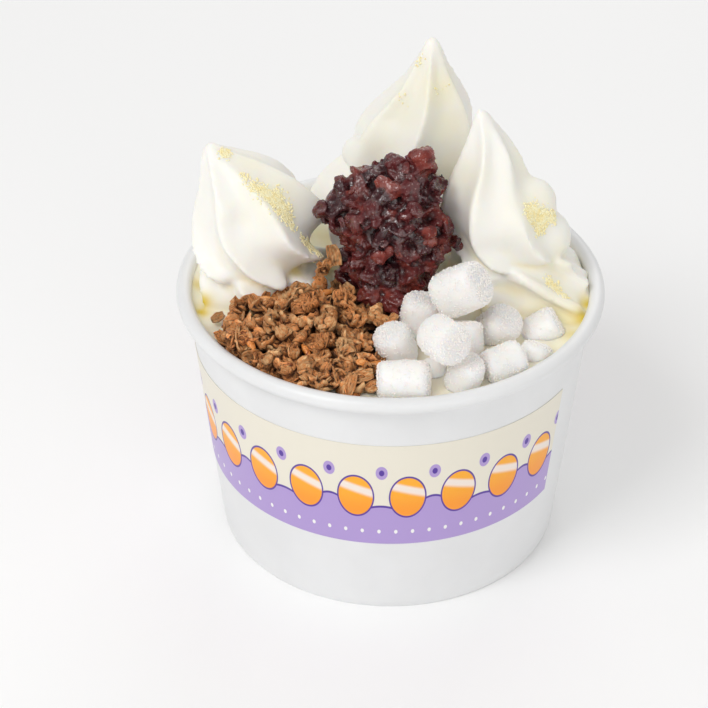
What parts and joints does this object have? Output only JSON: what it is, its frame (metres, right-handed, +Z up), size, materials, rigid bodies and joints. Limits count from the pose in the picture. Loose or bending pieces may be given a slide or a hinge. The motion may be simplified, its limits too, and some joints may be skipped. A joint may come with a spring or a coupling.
{
  "type": "frozen yogurt cup",
  "caption": "Round white paper cup filled with swirls of pale soft-serve yogurt, topped with sweet red bean, toasted granola and small marshmallows.",
  "frame": {"origin": "middle of the cup's foot, on the plane it stands on", "axes": "+Z up along the cup's axis, -Y towards the side that the granola and marshmallows face, +X to the right seen from there"},
  "size_m": [0.115, 0.115, 0.132],
  "materials": {
    "paper": "satin coated white paper",
    "label": "satin printed paper, cream and lilac",
    "frozen_yogurt": "smooth soft-serve yogurt, stood in for by matte plastic",
    "red_bean": "moist sweet red bean, stood in for by matte plastic",
    "granola": "toasted granola, stood in for by matte plastic",
    "marshmallow": "soft sugared marshmallow, stood in for by matte plastic"
  },
  "bodies": {
    "root": {"cup": "paper", "label": "label", "frozen_yogurt": "frozen_yogurt", "red_bean": "red_bean", "granola": "granola", "marshmallow_01": "marshmallow", "marshmallow_02": "marshmallow", "marshmallow_03": "marshmallow", "marshmallow_04": "marshmallow", "marshmallow_05": "marshmallow", "marshmallow_06": "marshmallow", "marshmallow_07": "marshmallow", "marshmallow_08": "marshmallow", "marshmallow_09": "marshmallow", "marshmallow_10": "marshmallow", "marshmallow_11": "marshmallow", "marshmallow_12": "marshmallow"}
  },
  "joints": []
}
